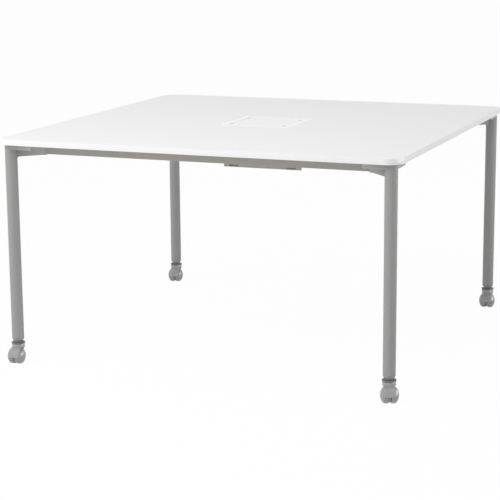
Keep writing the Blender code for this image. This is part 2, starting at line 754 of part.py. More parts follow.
def build_port(plastic, zinc):
    """The flush frame in the top, its lid and the two hinge pins."""
    top = TABLE_HEIGHT
    pocket_x = PORT_WIDTH / 2 - PORT_SIDE_RIM
    pocket_y = PORT_DEPTH / 2 - PORT_END_RIM
    skirt = PORT_FLANGE_REST
    ledge_top = LID_TOP - LID_THICKNESS - SEAT_GAP
    section = (
        (0, 0, top),
        (PORT_SIDE_RIM, PORT_END_RIM, top),
        (PORT_SIDE_RIM, PORT_END_RIM, ledge_top),
        (PORT_SIDE_RIM + PORT_LEDGE, PORT_END_RIM + PORT_LEDGE, ledge_top),
        (PORT_SIDE_RIM + PORT_LEDGE, PORT_END_RIM + PORT_LEDGE, top - PORT_BODY_THICKNESS),
        (skirt + PORT_SKIRT_WALL, skirt + PORT_SKIRT_WALL, top - PORT_BODY_THICKNESS),
        (skirt + PORT_SKIRT_WALL, skirt + PORT_SKIRT_WALL, top - PORT_SKIRT_DEPTH),
        (skirt, skirt, top - PORT_SKIRT_DEPTH),
        (skirt, skirt, top - PORT_FLANGE_THICKNESS),
        (0, 0, top - PORT_FLANGE_THICKNESS),
    )
    radii = (PORT_RADIUS, 0.002, 0.002, 0.002, 0.002, 0.006, 0.006, PORT_RADIUS, PORT_RADIUS, PORT_RADIUS)
    loops = []
    for (inset_x, inset_y, z), radius in zip(section, radii):
        outline = rounded_rectangle(PORT_WIDTH / 2 - inset_x, PORT_DEPTH / 2 - inset_y, radius)
        loops.append([(x, y, z) for x, y in outline])
    frame = loft(loops, ring=True)
    low = top - PORT_BODY_THICKNESS - 0.002
    barrel_room = LID_BARREL_RADIUS + 2 * LID_GAP
    cuts = [block((-pocket_x, HINGE_Y - 3 * barrel_room, low), (pocket_x, pocket_y, top - 0.002))]
    for side_x in (-1, 1):
        for side_y in (-1, 1):
            inner = side_x * (pocket_x - NOTCH_DEPTH)
            outer = side_x * pocket_x
            middle = side_y * NOTCH_OFFSET
            cuts.append(
                block(
                    (min(inner, outer), middle - NOTCH_WIDTH / 2, low),
                    (max(inner, outer), middle + NOTCH_WIDTH / 2, top - 0.002),
                )
            )
    hole = LID_PIN_RADIUS + SEAT_GAP
    reach = pocket_x + LID_PIN_HALF_REACH + SEAT_GAP
    at_hinge = shift(0, HINGE_Y, HINGE_Z)
    cuts.append(moved(pin(hole, -reach, reach, SCREW_SIDES), at_hinge @ turn(90, "Y")))
    place("port_frame", combined(frame, cuts, "DIFFERENCE"), plastic)

    under = LID_TOP - LID_THICKNESS
    rail_start = NOTCH_OFFSET + NOTCH_WIDTH / 2
    lid = block(
        (-LID_HALF_WIDTH, -LID_HALF_DEPTH, under), (LID_HALF_WIDTH, rail_start - SEAT_GAP, LID_TOP))
    cuts = []
    for side_x in (-1, 1):
        for side_y in (-1, 1):
            inner = side_x * (pocket_x - NOTCH_DEPTH)
            outer = side_x * (pocket_x + 0.01)
            middle = side_y * NOTCH_OFFSET
            cuts.append(
                block(
                    (min(inner, outer), middle - NOTCH_WIDTH / 2, under - 0.01),
                    (max(inner, outer), middle + NOTCH_WIDTH / 2, LID_TOP + 0.01),
                )
            )
    lid = moved(combined(lid, cuts, "DIFFERENCE"), at_hinge.inverted())
    lid = place("port_lid", lid, plastic, at_hinge)

    barrel = LID_BARREL_RADIUS
    profile = [(rail_start, under), (rail_start, LID_TOP)]
    profile += arc((HINGE_Y, HINGE_Z), barrel, 90, -120, 10)
    profile += [(HINGE_Y - barrel, under)]
    rail = prism(profile, -LID_HALF_WIDTH, LID_HALF_WIDTH)
    rail = moved(rail, Matrix(((0, 0, 1, 0), (1, 0, 0, 0), (0, 1, 0, 0), (0, 0, 0, 1))))
    deep = LID_HALF_WIDTH - LID_PIN_HALF_REACH - SEAT_GAP
    cuts = [
        moved(pin(hole, deep, pocket_x + 0.01, SCREW_SIDES), at_hinge @ turn(90 * side_x, "Y"))
        for side_x in (-1, 1)
    ]
    rail = moved(combined(rail, cuts, "DIFFERENCE"), at_hinge.inverted())
    place("lid_hinge_rail", rail, plastic, parent=lid)

    for name, side_x in (("left", -1), ("right", 1)):
        start = LID_HALF_WIDTH - LID_PIN_HALF_REACH
        end = pocket_x + LID_PIN_HALF_REACH
        hinge_pin = pin(LID_PIN_RADIUS, start, end, SCREW_SIDES)
        place(f"lid_hinge_pin_{name}", hinge_pin, zinc, at_hinge @ turn(90 * side_x, "Y"))


def sheet_outline(path, thickness):
    """A bent strip of even thickness: the path, and the same path offset to its left."""
    offset = []
    for index, point in enumerate(path):
        here = Vector(point)
        before = (here - Vector(path[index - 1])).normalized() if index else None
        after = (Vector(path[index + 1]) - here).normalized() if index + 1 < len(path) else None
        if before is None:
            before = after
        if after is None:
            after = before
        bisector = (before + after).normalized()
        normal = Vector((-bisector.y, bisector.x))
        stretch = 1 / max(0.2, normal.dot(Vector((-before.y, before.x))))
        offset.append(tuple(here + normal * thickness * stretch))
    return list(path) + offset[::-1]


def build_tray(sheet):
    """The trough and the two straps that hang it under the port, with the holes of their fasteners."""
    front = -TRAY_DEPTH / 2
    back = TRAY_DEPTH / 2
    wall_top = TRAY_BOTTOM + TRAY_WALL_HEIGHT
    path = [(back, wall_top), (back, TRAY_BOTTOM), (front, TRAY_BOTTOM), (front, wall_top)]
    across = Matrix(((0, 0, 1, 0), (1, 0, 0, 0), (0, 1, 0, 0), (0, 0, 0, 1)))
    trough = prism(sheet_outline(path[::-1], TRAY_SHEET), -TRAY_WIDTH / 2, TRAY_WIDTH / 2)
    trough = moved(trough, across)
    cuts = []
    for side in (-1, 1):
        wide = side * TRAY_WIDTH / 2
        narrow = side * TRAY_BACK_WIDTH / 2
        beyond = side * (TRAY_WIDTH / 2 + 0.01)
        inside = front + 2 * TRAY_SHEET
        corner = [(wide, inside), (narrow, back - TRAY_SHEET), (narrow, back + 0.01),
                  (beyond, back + 0.01), (beyond, inside)]
        cuts.append(prism(corner, TRAY_BOTTOM - 0.01, wall_top + 0.01))
        start = side * (TRAY_WIDTH / 2 - SLOT_END)
        end = side * (TRAY_WIDTH / 2 - SLOT_END - SLOT_LENGTH)
        floor = TRAY_BOTTOM + TRAY_SHEET + SEAT_GAP
        cuts.append(
            block(
                (min(start, end), front - 0.01, floor),
                (max(start, end), front + 0.01, floor + SLOT_HEIGHT),
            )
        )
    rivet_hole = RIVET_RADIUS + SEAT_GAP
    rivet_places = [
        (side_x * HANGER_OFFSET, side_y * RIVET_OFFSET) for side_x in (-1, 1) for side_y in (-1, 1)
    ]
    for x, y in rivet_places:
        cuts.append(moved(pin(rivet_hole, -0.005, 0.005, SCREW_SIDES), shift(x, y, TRAY_BOTTOM)))
    place("cable_tray", combined(trough, cuts, "DIFFERENCE"), sheet)

    strap_bottom = TRAY_BOTTOM + TRAY_SHEET + SEAT_GAP
    inner = TRAY_DEPTH / 2 - TRAY_SHEET - SEAT_GAP
    foot = PORT_DEPTH / 2 + HANGER_PORT_CLEARANCE
    half = [(inner, strap_bottom), (inner, wall_top + HANGER_BEND_RISE),
            (foot, FRAME_TOP - HANGER_SHEET), (foot + HANGER_FOOT, FRAME_TOP - HANGER_SHEET)]
    strap_path = [(-y, z) for y, z in half[::-1]] + half
    strap = prism(sheet_outline(strap_path, HANGER_SHEET), -HANGER_WIDTH / 2, HANGER_WIDTH / 2)
    strap = moved(strap, across)
    screw_hole = WOOD_SCREW_RADIUS + SEAT_GAP
    cuts = []
    for radius, y, z in ((rivet_hole, RIVET_OFFSET, strap_bottom), (screw_hole, hanger_screw_y(), FRAME_TOP)):
        for side in (-1, 1):
            cuts.append(moved(pin(radius, -0.005, 0.005, SCREW_SIDES), shift(0, side * y, z)))
    strap = combined(strap, cuts, "DIFFERENCE")
    place("tray_hanger_left", strap, sheet, shift(-HANGER_OFFSET, 0, 0))
    place("tray_hanger_right", strap, sheet, shift(HANGER_OFFSET, 0, 0))


clear_scene()
white_laminate = make_material("white_laminate", (0.84, 0.84, 0.84), 0.38)
white_banding = make_material("white_banding", (0.86, 0.86, 0.85), 0.35)
grey_paint = make_material("grey_paint", (0.30, 0.30, 0.295), 0.42, 0.2)
grey_casting = make_material("grey_casting", (0.29, 0.29, 0.285), 0.48, 0.2)
grey_sheet = make_material("grey_sheet", (0.29, 0.29, 0.28), 0.45, 0.2)
caster_nylon = make_material("caster_nylon", (0.40, 0.40, 0.40), 0.30)
dark_rubber = make_material("dark_rubber", (0.06, 0.06, 0.055), 0.60)
white_plastic = make_material("white_plastic", (0.87, 0.88, 0.88), 0.30)
plated_zinc = make_material("plated_zinc", (0.62, 0.62, 0.60), 0.30, 1.0)

build_top(white_laminate, white_banding)
build_frame(grey_paint, grey_casting, plated_zinc)
build_casters(caster_nylon, dark_rubber, grey_paint, plated_zinc)
build_port(white_plastic, plated_zinc)
build_tray(grey_sheet)
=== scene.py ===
"""Conference table: the looks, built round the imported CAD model. Metres, +Z up, front towards -Y."""

import math

import bmesh
import bpy
import numpy as np
from mathutils import Matrix, Vector


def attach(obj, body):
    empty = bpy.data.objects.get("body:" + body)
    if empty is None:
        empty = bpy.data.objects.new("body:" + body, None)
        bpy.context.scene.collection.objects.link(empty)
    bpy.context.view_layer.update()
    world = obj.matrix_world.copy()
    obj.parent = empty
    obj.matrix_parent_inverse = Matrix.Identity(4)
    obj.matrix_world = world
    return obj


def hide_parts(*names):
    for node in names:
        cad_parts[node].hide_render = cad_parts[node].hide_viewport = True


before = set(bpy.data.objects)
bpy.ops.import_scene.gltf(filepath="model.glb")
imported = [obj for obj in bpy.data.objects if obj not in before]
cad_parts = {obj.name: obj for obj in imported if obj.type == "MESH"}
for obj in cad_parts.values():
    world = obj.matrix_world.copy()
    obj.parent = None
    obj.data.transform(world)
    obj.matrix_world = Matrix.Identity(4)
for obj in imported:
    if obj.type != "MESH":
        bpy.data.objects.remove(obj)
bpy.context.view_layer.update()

# The camera
# It stands where the photograph was taken from, a little right of the front and looking down on the top,
# with a long lens.
CAMERA_PLACE = (1.90179, -4.94571, 1.40845)
CAMERA_YAW = 0.37799
CAMERA_PITCH = 0.2087
CAMERA_ROLL = -0.00777
CAMERA_LENS = 115.696
SENSOR = 36.0

forward = Vector(
    (
        -math.sin(CAMERA_YAW) * math.cos(CAMERA_PITCH),
        math.cos(CAMERA_YAW) * math.cos(CAMERA_PITCH),
        -math.sin(CAMERA_PITCH),
    )
)
level = Vector((math.cos(CAMERA_YAW), math.sin(CAMERA_YAW), 0))
upward = level.cross(forward)
across = level * math.cos(CAMERA_ROLL) + upward * math.sin(CAMERA_ROLL)
rising = upward * math.cos(CAMERA_ROLL) - level * math.sin(CAMERA_ROLL)
camera_data = bpy.data.cameras.new("camera")
camera_data.lens = CAMERA_LENS
camera_data.sensor_width = SENSOR
camera = bpy.data.objects.new("camera", camera_data)
bpy.context.scene.collection.objects.link(camera)
axes = Matrix((across, rising, -forward)).transposed().to_4x4()
camera.matrix_world = Matrix.Translation(CAMERA_PLACE) @ axes
bpy.context.scene.camera = camera

# The studio
# A white sweep of floor under even white light. Three soft lamps light the table from the front left, the
# front and the right, and glossy surfaces show two panels at the right in their place. Only the camera
# and mirror-like rays see floor and sky as plain white.
WHITE = (1.0, 1.0, 1.0, 1.0)
FLOOR_HALF = 40.0
FLOOR_ALBEDO = 0.90
FLOOR_WHITENESS = 0.965
SKY_LIGHT = 0.59
LAMP_AIM = (0, 0, 0.55)
LAMPS = (
    ("key_lamp", (-3.6, -3.0, 2.9), (2.6, 2.6), 90.0),
    ("front_lamp", (-0.2, -2.3, 2.9), (2.0, 2.0), 28.0),
    ("right_lamp", (4.0, 1.6, 1.4), (1.6, 1.6), 13.0),
    ("right_panel", (3.94, 0.69, 1.1), (4.4, 2.15), 125.0),
    ("back_panel", (3.2, 3.0, 1.1), (1.3, 2.15), 22.0),
)


def seen_directly(tree):
    """A value node that is 1 for camera, mirror and glass rays and 0 for the rest."""
    path = tree.nodes.new("ShaderNodeLightPath")
    first = tree.nodes.new("ShaderNodeMath")
    first.operation = "MAXIMUM"
    second = tree.nodes.new("ShaderNodeMath")
    second.operation = "MAXIMUM"
    tree.links.new(path.outputs["Is Camera Ray"], first.inputs[0])
    tree.links.new(path.outputs["Is Glossy Ray"], first.inputs[1])
    tree.links.new(first.outputs[0], second.inputs[0])
    tree.links.new(path.outputs["Is Transmission Ray"], second.inputs[1])
    return second.outputs[0]


world = bpy.data.worlds.new("studio")
bpy.context.scene.world = world
world.use_nodes = True
tree = world.node_tree
tree.nodes.clear()
lighting = tree.nodes.new("ShaderNodeBackground")
lighting.inputs["Strength"].default_value = SKY_LIGHT
lighting.inputs["Color"].default_value = WHITE
backdrop = tree.nodes.new("ShaderNodeBackground")
backdrop.inputs["Color"].default_value = WHITE
sky_mix = tree.nodes.new("ShaderNodeMixShader")
sky_out = tree.nodes.new("ShaderNodeOutputWorld")
tree.links.new(seen_directly(tree), sky_mix.inputs[0])
tree.links.new(lighting.outputs[0], sky_mix.inputs[1])
tree.links.new(backdrop.outputs[0], sky_mix.inputs[2])
tree.links.new(sky_mix.outputs[0], sky_out.inputs[0])

floor_finish = bpy.data.materials.new("studio_floor")
floor_finish.use_nodes = True
tree = floor_finish.node_tree
tree.nodes.clear()
matt = tree.nodes.new("ShaderNodeBsdfDiffuse")
matt.inputs["Color"].default_value = (FLOOR_ALBEDO, FLOOR_ALBEDO, FLOOR_ALBEDO, 1.0)
glow = tree.nodes.new("ShaderNodeEmission")
glow.inputs["Color"].default_value = WHITE
share = tree.nodes.new("ShaderNodeMath")
share.operation = "MULTIPLY"
share.inputs[1].default_value = FLOOR_WHITENESS
floor_mix = tree.nodes.new("ShaderNodeMixShader")
floor_out = tree.nodes.new("ShaderNodeOutputMaterial")
tree.links.new(seen_directly(tree), share.inputs[0])
tree.links.new(share.outputs[0], floor_mix.inputs[0])
tree.links.new(matt.outputs[0], floor_mix.inputs[1])
tree.links.new(glow.outputs[0], floor_mix.inputs[2])
tree.links.new(floor_mix.outputs[0], floor_out.inputs[0])
floor_mesh = bpy.data.meshes.new("floor")
corners = [(-FLOOR_HALF, -FLOOR_HALF, 0), (FLOOR_HALF, -FLOOR_HALF, 0)]
corners += [(FLOOR_HALF, FLOOR_HALF, 0), (-FLOOR_HALF, FLOOR_HALF, 0)]
floor_mesh.from_pydata(corners, [], [(0, 1, 2, 3)])
floor_mesh.materials.append(floor_finish)
floor = bpy.data.objects.new("floor", floor_mesh)
bpy.context.scene.collection.objects.link(floor)

for lamp_name, place, (width, tall), power in LAMPS:
    lamp_data = bpy.data.lights.new(lamp_name, "AREA")
    lamp_data.shape = "RECTANGLE"
    lamp_data.size = width
    lamp_data.size_y = tall
    lamp_data.energy = power
    lamp = bpy.data.objects.new(lamp_name, lamp_data)
    lamp.visible_glossy = lamp_name.endswith("panel")
    lamp.visible_diffuse = not lamp.visible_glossy
    lamp.location = place
    aim = Vector(LAMP_AIM) - Vector(place)
    lamp.rotation_euler = aim.to_track_quat("-Z", "Y").to_euler()
    bpy.context.scene.collection.objects.link(lamp)

# The board
# A particle board of 18 mm with white laminate pressed on both faces, routed in the middle for the cable
# port. The laminate has a fine pearl texture that breaks up the reflections.
TOP_HALF = 0.650
TOP_Z = 0.720
UNDERSIDE_Z = 0.702
TOP_CORNER = 0.050
BAND_WIDTH = 0.002
SEAT_HALF_X, SEAT_HALF_Y = 0.1203, 0.1253
PORT_HOLE_X, PORT_HOLE_Y = 0.1128, 0.1178
SEAT_Z = 0.7172
PORT_CORNER = 0.008
MERGE = 1e-7
SHARP_ABOVE = 30.0
CLOUD_DETAIL, GRAIN_DETAIL = 4.0, 2.0
BUMP_STRENGTH = 0.6
# The numbers of a Mix node's two colour inputs and of its colour output.
COLOUR_A, COLOUR_B, COLOUR_OUT = 6, 7, 2


def rounded_loop(half_x, half_y, radius, z, steps=16):
    """A level loop round a rectangle with quarter circles at its corners: each corner's points are its
    centre plus radius times (cos, sin) of the angle, over the four quarters in turn."""
    quarter = np.linspace(0, math.pi / 2, steps + 1)
    angle = np.concatenate([quarter + turn * math.pi / 2 for turn in range(4)])
    side_x = np.repeat((1, -1, -1, 1), steps + 1)
    side_y = np.repeat((1, 1, -1, -1), steps + 1)
    x = side_x * (half_x - radius) + radius * np.cos(angle)
    y = side_y * (half_y - radius) + radius * np.sin(angle)
    return np.stack((x, y, np.full_like(x, z)), axis=-1)


def grid_faces(rows, columns, wrap_rows, wrap_columns):
    """Quads between neighbouring points of a grid, where point (i, j) has the number i * columns + j and
    a wrapped side joins its last line to its first."""
    i, j = np.meshgrid(
        np.arange(rows if wrap_rows else rows - 1),
        np.arange(columns if wrap_columns else columns - 1),
        indexing="ij",
    )
    below = (i + 1) % rows * columns
    beside = (j + 1) % columns
    quads = np.stack((i * columns + j, i * columns + beside, below + beside, below + j), axis=-1)
    return quads.reshape(-1, 4)


def piece_from(name, grids, material):
    """One piece from closed grids of points. Each grid is (points, wraps its rows, wraps its columns).
    Equal points are merged, which closes the poles, and the faces are turned outwards."""
    bm = bmesh.new()
    for points, wrap_rows, wrap_columns in grids:
        rows, columns = points.shape[:2]
        shell = bpy.data.meshes.new("shell")
        quads = grid_faces(rows, columns, wrap_rows, wrap_columns)
        shell.from_pydata(points.reshape(-1, 3).tolist(), [], quads.tolist())
        bm.from_mesh(shell)
        bpy.data.meshes.remove(shell)
    bmesh.ops.remove_doubles(bm, verts=bm.verts, dist=MERGE)
    bmesh.ops.dissolve_degenerate(bm, edges=bm.edges, dist=MERGE)
    bmesh.ops.recalc_face_normals(bm, faces=bm.faces)
    mesh = bpy.data.meshes.new(name)
    bm.to_mesh(mesh)
    bm.free()
    mesh.materials.append(material)
    mesh.shade_smooth()
    mesh.set_sharp_from_angle(angle=math.radians(SHARP_ABOVE))
    piece = bpy.data.objects.new(name, mesh)
    bpy.context.scene.collection.objects.link(piece)
    return piece


def seat(piece, body, slot, *nodes):
    """Fixes a piece to a body and hides the CAD nodes that it stands for. The slot is not used."""
    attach(piece, body)
    if nodes:
        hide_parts(*nodes)


def finish(name, colour, roughness, *, cloud, grain, shine=0.5, gloss=0.05):
    """A finish read from Object coordinates. Slow noise, cloud = (waves per metre, share), varies colour
    by its share and roughness by gloss. Fine noise, grain = (waves per metre, height), is the bump. A
    shine above 1 makes it bare metal."""
    material = bpy.data.materials.new(name)
    material.use_nodes = True
    nodes, links = material.node_tree.nodes, material.node_tree.links
    shader = nodes["Principled BSDF"]
    shader.inputs["Metallic"].default_value = float(shine > 1)
    shader.inputs["Specular IOR Level"].default_value = min(shine, 1)
    place = nodes.new("ShaderNodeTexCoord")
    slow = nodes.new("ShaderNodeTexNoise")
    slow.inputs["Scale"].default_value = cloud[0]
    slow.inputs["Detail"].default_value = CLOUD_DETAIL
    links.new(place.outputs["Object"], slow.inputs["Vector"])
    tint = nodes.new("ShaderNodeMix")
    tint.data_type = "RGBA"
    tint.inputs[COLOUR_A].default_value = (*(part * (1 - cloud[1]) for part in colour), 1.0)
    tint.inputs[COLOUR_B].default_value = (*(part * (1 + cloud[1]) for part in colour), 1.0)
    links.new(slow.outputs[0], tint.inputs[0])
    links.new(tint.outputs[COLOUR_OUT], shader.inputs["Base Color"])
    sheen = nodes.new("ShaderNodeMapRange")
    sheen.inputs["To Min"].default_value = roughness - gloss
    sheen.inputs["To Max"].default_value = roughness + gloss
    links.new(slow.outputs[0], sheen.inputs["Value"])
    links.new(sheen.outputs[0], shader.inputs["Roughness"])
    fine = nodes.new("ShaderNodeTexNoise")
    fine.inputs["Scale"].default_value = grain[0]
    fine.inputs["Detail"].default_value = GRAIN_DETAIL
    links.new(place.outputs["Object"], fine.inputs["Vector"])
    bump = nodes.new("ShaderNodeBump")
    bump.inputs["Distance"].default_value = grain[1]
    bump.inputs["Strength"].default_value = BUMP_STRENGTH
    links.new(fine.outputs[0], bump.inputs["Height"])
    links.new(bump.outputs[0], shader.inputs["Normal"])
    return material


white_laminate = finish(
    "white_laminate", (0.84, 0.84, 0.84), 0.36, cloud=(3.0, 0.008), grain=(700.0, 0.00003), gloss=0.04
)
outer = TOP_HALF - BAND_WIDTH
board = np.stack(
    [
        rounded_loop(outer, outer, TOP_CORNER - BAND_WIDTH, UNDERSIDE_Z),
        rounded_loop(outer, outer, TOP_CORNER - BAND_WIDTH, TOP_Z),
        rounded_loop(SEAT_HALF_X, SEAT_HALF_Y, PORT_CORNER, TOP_Z),
        rounded_loop(SEAT_HALF_X, SEAT_HALF_Y, PORT_CORNER, SEAT_Z),
        rounded_loop(PORT_HOLE_X, PORT_HOLE_Y, PORT_CORNER, SEAT_Z),
        rounded_loop(PORT_HOLE_X, PORT_HOLE_Y, PORT_CORNER, UNDERSIDE_Z),
    ]
)
seat(piece_from("board", [(board, True, True)], white_laminate), "table", "white_laminate", "top_board")

# The edge band
# A strip of white plastic, 2 mm thick, glued round the board, with both of its outer edges rounded by a
# cutter of 1.2 mm radius.
ARRIS = 0.0012
white_banding = finish(
    "white_banding", (0.85, 0.85, 0.85), 0.30, cloud=(12.0, 0.01), grain=(1200.0, 0.00001), gloss=0.03
)


def band_section(low, high, width, arris, steps=6):
    """Points (inset, height) of the band's section: two quarter circles at its outer edges, then its
    square inner edges."""
    angle = np.linspace(0, math.pi / 2, steps + 1)
    inset = arris * (1 - np.cos(angle))
    rise = arris * np.sin(angle)
    upper = np.stack((inset, high - arris + rise), axis=-1)
    lower = np.stack((inset, low + arris - rise), axis=-1)
    square = np.array(((width, high), (width, low)))
    return np.concatenate((lower[::-1], upper, square))


band = np.stack(
    [
        rounded_loop(TOP_HALF - inset, TOP_HALF - inset, TOP_CORNER - inset, height)
        for inset, height in band_section(UNDERSIDE_Z, TOP_Z, BAND_WIDTH, ARRIS)
    ]
)
seat(piece_from("band", [(band, True, True)], white_banding), "table", "white_banding", "edge_band")

# The beams
# Four lengths of rectangular steel tube, 20 by 37 mm, in a silver grey powder coat. Their coat is drawn
# warmer and paler than the legs': painted light for the warm light bounced up under the board. Each
# slides over a spigot of the corner bracket at either end.
FRAME_TOP = 0.7017
LEG_CENTRE = 0.615
BEAM_FROM_LEG = 0.075
BEAM_HALF_WIDTH = 0.010
BEAM_HALF_HEIGHT = 0.01835
BEAM_WALL = 0.0016
BEAM_CORNER = 0.0025
BEAM_HALF_LENGTH = 0.5297
BEAM_CHAMFER = 0.0003
BEAM_STEPS = 6
# Painted light: warmer and paler than the legs' powder coat, standing in for the light under the board.
beam_coat_painted_light = finish(
    "beam_coat_painted_light", (0.410, 0.390, 0.348), 0.45, shine=0.25, cloud=(30.0, 0.03), grain=(1600.0, 0.00004)
)


def beam_points(angle):
    """A rectangular tube along X, its section a rounded loop outside and a smaller one inside, turned by
    angle degrees about the middle of the table."""
    middle = -(LEG_CENTRE - BEAM_FROM_LEG)
    height = FRAME_TOP - BEAM_HALF_HEIGHT
    rows = []
    for inset, x in (
        (BEAM_WALL, -BEAM_HALF_LENGTH),
        (BEAM_CHAMFER, -BEAM_HALF_LENGTH),
        (0.0, -BEAM_HALF_LENGTH + BEAM_CHAMFER),
        (0.0, BEAM_HALF_LENGTH - BEAM_CHAMFER),
        (BEAM_CHAMFER, BEAM_HALF_LENGTH),
        (BEAM_WALL, BEAM_HALF_LENGTH),
    ):
        half_width, half_height = BEAM_HALF_WIDTH - inset, BEAM_HALF_HEIGHT - inset
        loop = rounded_loop(half_width, half_height, BEAM_CORNER - inset, x, BEAM_STEPS)
        rows.append(np.stack((loop[:, 2], middle + loop[:, 0], height + loop[:, 1]), axis=-1))
    spin = np.array(Matrix.Rotation(math.radians(angle), 3, "Z"))
    return np.stack(rows) @ spin.T


for side, angle in (("front", 0), ("right", 90), ("back", 180), ("left", 270)):
    tube = piece_from(f"{side}_beam", [(beam_points(angle), True, True)], beam_coat_painted_light)
    seat(tube, "table", "grey_paint", f"beam_{side}")

# The corner brackets
# A die casting at each corner, powder coated, with painted light on arm and wings: they are drawn paler
# than the head to stand in for the light they get under the board. A round head caps the leg, an arm runs
# diagonally to the beams, and two thin wings with turned-down rims carry the top.
CAST_EDGE = 0.0007
# Each corner's side along X and along Y, then its bracket's turn and its caster's heading in degrees.
CORNERS = {
    "front_left": (-1, -1, 180, 6),
    "front_right": (1, -1, 270, 22),
    "back_left": (-1, 1, 90, 14),
    "back_right": (1, 1, 0, 8),
}
LEG_PLACES = {corner: (x * LEG_CENTRE, y * LEG_CENTRE) for corner, (x, y, _, _) in CORNERS.items()}
NODE_MERGE = 2e-6
FLAT_WITHIN = 1.0
EDGE_SEGMENTS = 2
# Painted light: the paler colour mixed into the coat on arm and wings, standing in for the light under
# the board.
ARM_PAINTED_LIGHT_COLOUR = (0.480, 0.466, 0.440)
# The painted light fades in between these two distances from the leg's axis.
HEAD_REACH, ARM_REACH = 0.021, 0.036
cast_coat = finish(
    "cast_coat", (0.315, 0.314, 0.308), 0.46, shine=0.25, cloud=(45.0, 0.035), grain=(1100.0, 0.00006)
)
tree = cast_coat.node_tree
shader = tree.nodes["Principled BSDF"]
# Painted light: a per-point share mixes the paler colour into the coat out on arm and wings.
arm_painted_light = tree.nodes.new("ShaderNodeAttribute")
arm_painted_light.attribute_name = "arm_painted_light"
painted_light_mix = tree.nodes.new("ShaderNodeMix")
painted_light_mix.data_type = "RGBA"
painted_light_mix.inputs[COLOUR_B].default_value = (*ARM_PAINTED_LIGHT_COLOUR, 1.0)
tree.links.new(arm_painted_light.outputs["Fac"], painted_light_mix.inputs[0])
tree.links.new(shader.inputs["Base Color"].links[0].from_socket, painted_light_mix.inputs[COLOUR_A])
tree.links.new(painted_light_mix.outputs[COLOUR_OUT], shader.inputs["Base Color"])


def softened(name, node, material, width):
    """A copy of a CAD node as one closed surface, merged and with its flat triangles dissolved, whose
    edges are rounded by width."""
    bm = bmesh.new()
    bm.from_mesh(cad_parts[node].data)
    bmesh.ops.remove_doubles(bm, verts=bm.verts, dist=NODE_MERGE)
    bmesh.ops.dissolve_limit(bm, angle_limit=math.radians(FLAT_WITHIN), verts=bm.verts, edges=bm.edges)
    bmesh.ops.recalc_face_normals(bm, faces=bm.faces)
    mesh = bpy.data.meshes.new(name)
    bm.to_mesh(mesh)
    bm.free()
    mesh.materials.clear()
    mesh.materials.append(material)
    mesh.shade_smooth()
    mesh.set_sharp_from_angle(angle=math.radians(SHARP_ABOVE))
    piece = bpy.data.objects.new(name, mesh)
    bpy.context.scene.collection.objects.link(piece)
    bevel = piece.modifiers.new("Rounded edges", "BEVEL")
    bevel.width = width
    bevel.segments = EDGE_SEGMENTS
    bevel.limit_method = "ANGLE"
    bevel.angle_limit = math.radians(SHARP_ABOVE)
    bevel.harden_normals = True
    return piece


def points_of(piece):
    """The piece's points as one array."""
    points = np.empty(len(piece.data.vertices) * 3)
    piece.data.vertices.foreach_get("co", points)
    return points.reshape(-1, 3)


def mark(piece, name, shares):
    """Writes one share per point, which the piece's material reads as an attribute."""
    layer = piece.data.attributes.new(name, "FLOAT", "POINT")
    layer.data.foreach_set("value", np.clip(shares, 0, 1))


for corner, (leg_x, leg_y) in LEG_PLACES.items():
    bracket = softened(f"{corner}_bracket", f"bracket_{corner}", cast_coat, CAST_EDGE)
    place = points_of(bracket)
    from_leg = np.hypot(place[:, 0] - leg_x, place[:, 1] - leg_y)
    # Painted light share: none on the head, rising to full on arm and wings.
    mark(bracket, "arm_painted_light", (from_leg - HEAD_REACH) / (ARM_REACH - HEAD_REACH))
    seat(bracket, "table", "grey_casting", f"bracket_{corner}")

# The legs
# Straight round steel tubes of 38 mm, powder coated, pushed up over the bracket's spigot and held by a
# bolt and a nut plate inside. The coat runs over the joint with the bracket's head.
LEG_RADIUS = 0.01905
LEG_BORE = 0.01745
LEG_LOW = 0.082
LEG_HIGH = 0.6457
LEG_CHAMFER = 0.0003
powder_coat = finish(
    "powder_coat", (0.320, 0.319, 0.316), 0.46, shine=0.25, cloud=(30.0, 0.03), grain=(1600.0, 0.00004)
)


def turned_points(profile, centre, sides=64):
    """A surface of revolution about an upright axis through centre: the point at profile (radius, z) and
    angle a is centre plus radius times (cos a, sin a), at height z."""
    angle = np.arange(sides) * 2 * math.pi / sides
    radius, height = np.array(profile, float).T
    x = centre[0] + radius[:, None] * np.cos(angle)
    y = centre[1] + radius[:, None] * np.sin(angle)
    return np.stack((x, y, np.broadcast_to(height[:, None], x.shape)), axis=-1)


leg_section = [
    (LEG_BORE, LEG_LOW),
    (LEG_RADIUS - LEG_CHAMFER, LEG_LOW),
    (LEG_RADIUS, LEG_LOW + LEG_CHAMFER),
    (LEG_RADIUS, LEG_HIGH),
    (LEG_BORE, LEG_HIGH),
]
for corner, centre in LEG_PLACES.items():
    tube = piece_from(f"{corner}_leg", [(turned_points(leg_section, centre), True, True)], powder_coat)
    seat(tube, "table", "grey_paint", f"leg_{corner}")

# The bolts and pins of the legs
# A zinc plated bolt runs down through each bracket's head into a nut plate in the tube. The casters'
# stems and axles have the same plating. All are hidden, and stay as the CAD model has them.
plated_zinc = finish(
    "plated_zinc", (0.62, 0.62, 0.60), 0.30, shine=2.0, cloud=(120.0, 0.05), grain=(2500.0, 0.00001)
)


def dressed(node, material):
    """Gives a CAD node that stays as it is its finish."""
    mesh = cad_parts[node].data
    mesh.materials.clear()
    mesh.materials.append(material)


for corner in CORNERS:
    for node in ("leg_bolt", "leg_nut_plate", "caster_stem", "caster_axle"):
        dressed(f"{node}_{corner}", plated_zinc)

